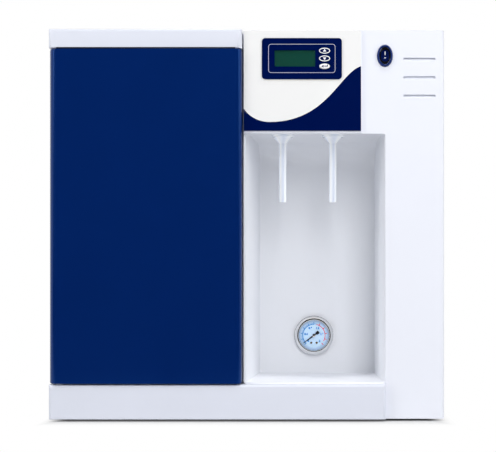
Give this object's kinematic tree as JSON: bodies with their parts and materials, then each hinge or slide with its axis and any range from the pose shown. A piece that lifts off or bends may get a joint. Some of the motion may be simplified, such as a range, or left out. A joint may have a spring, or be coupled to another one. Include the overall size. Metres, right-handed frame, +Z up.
{
  "type": "reverse osmosis system",
  "caption": "Bench-top laboratory water purifier with a hinged filter door, a dispensing niche with spouts and a pressure gauge, a display panel and a power switch.",
  "frame": {"origin": "on the floor under the middle of the cabinet's overall box", "axes": "+Z up, the front with door and niche faces -Y, +X to the right seen from the front"},
  "size_m": [0.47, 0.38, 0.466],
  "materials": {
    "cabinet_white": "fine-textured grey-white powder coat",
    "trim_white": "satin moulded plastic, cool grey-white",
    "panel_white": "satin moulded plastic, bright white",
    "door_blue": "satin deep blue paint",
    "navy_plastic": "satin navy moulded plastic",
    "print_film": "printed polyester film, white with a navy field",
    "lcd_green": "dark green unlit LCD",
    "clear_plastic": "clear polycarbonate",
    "gauge_glass": "clear glass",
    "black_plastic": "black moulded plastic",
    "switch_blue": "gloss blue plastic",
    "polished_steel": "polished stainless steel",
    "zinc_steel": "bright zinc-plated steel",
    "dial_face": "pale blue printed dial",
    "pointer_black": "matt black paint",
    "brass_screws": "small brass screws",
    "spout_natural": "translucent natural polypropylene",
    "filter_white": "white polypropylene",
    "filter_blue": "blue polypropylene",
    "resin_clear": "amber ion-exchange resin behind clear acrylic",
    "board_green": "green solder mask",
    "motor_black": "black painted steel",
    "foot_rubber": "black rubber"
  },
  "bodies": {
    "cabinet": {"base_pan": "cabinet_white", "rubber_feet": "foot_rubber", "left_side_panel": "cabinet_white", "right_side_panel": "cabinet_white", "top_cover": "cabinet_white", "rear_panel": "cabinet_white", "rear_screws": "zinc_steel", "partition_wall": "cabinet_white", "front_top_rail": "trim_white", "front_plinth": "trim_white", "right_column_cover": "panel_white", "catch_magnets": "black_plastic", "hinge_pins": "zinc_steel", "hinge_washers": "filter_white", "control_panel": "panel_white", "panel_film": "print_film", "display_bezel": "navy_plastic", "lcd_window": "clear_plastic", "lcd_module": "lcd_green", "control_board": "board_green", "switch_bezel": "switch_blue", "switch_frame": "black_plastic", "niche_liner": "panel_white", "left_spout": "spout_natural", "right_spout": "spout_natural", "spout_nuts": "filter_white", "gauge_case": "zinc_steel", "gauge_bezel": "polished_steel", "gauge_glass": "gauge_glass", "gauge_dial": "dial_face", "dial_screws": "brass_screws", "gauge_ring_nut": "zinc_steel", "filter_bracket": "zinc_steel", "filter_heads": "filter_white", "sediment_cartridge": "filter_white", "carbon_cartridge": "filter_white", "softener_cartridge": "filter_white", "membrane_housing": "filter_white", "membrane_cap": "filter_blue", "membrane_clips": "black_plastic", "polishing_column": "resin_clear", "column_strap": "black_plastic", "water_tubes": "spout_natural", "pump_mount": "zinc_steel", "pump_head": "black_plastic", "pump_motor": "motor_black", "power_supply": "zinc_steel", "dispense_valves": "filter_white", "rear_ports": "filter_white", "port_collets": "filter_blue", "port_nuts": "filter_white", "power_inlet": "black_plastic"},
    "door": {"door_skin": "door_blue", "door_liner": "trim_white", "door_strikes": "zinc_steel"},
    "up_key": {"key_up": "navy_plastic"},
    "down_key": {"key_down": "navy_plastic"},
    "set_key": {"key_set": "navy_plastic"},
    "rocker": {"switch_rocker": "switch_blue"},
    "pointer": {"gauge_pointer": "pointer_black"}
  },
  "joints": [
    {"name": "door_hinge", "type": "hinge", "parent": "cabinet", "child": "door", "pos_m": [-0.223, -0.179, 0.2435], "axis": [0, 0, -1], "range_deg": [0, 110]},
    {"name": "up_key_press", "type": "slide", "parent": "cabinet", "child": "up_key", "axis": [0, 1, 0], "range_m": [0, 0.0008], "stiffness_N_per_m": 300, "springref_m": -0.001},
    {"name": "down_key_press", "type": "slide", "parent": "cabinet", "child": "down_key", "axis": [0, 1, 0], "range_m": [0, 0.0008], "stiffness_N_per_m": 300, "springref_m": -0.001},
    {"name": "set_key_press", "type": "slide", "parent": "cabinet", "child": "set_key", "axis": [0, 1, 0], "range_m": [0, 0.0008], "stiffness_N_per_m": 300, "springref_m": -0.001},
    {"name": "rocker_tilt", "type": "hinge", "parent": "cabinet", "child": "rocker", "pos_m": [0.1639, -0.1775, 0.4356], "axis": [-1, 0, 0], "range_deg": [0, 16]},
    {"name": "gauge_sweep", "type": "hinge", "parent": "cabinet", "child": "pointer", "pos_m": [0.08135, -0.0316, 0.096], "axis": [0, 1, 0], "range_deg": [-9, 261], "stiffness_Nm_per_rad": 0.0002}
  ]
}
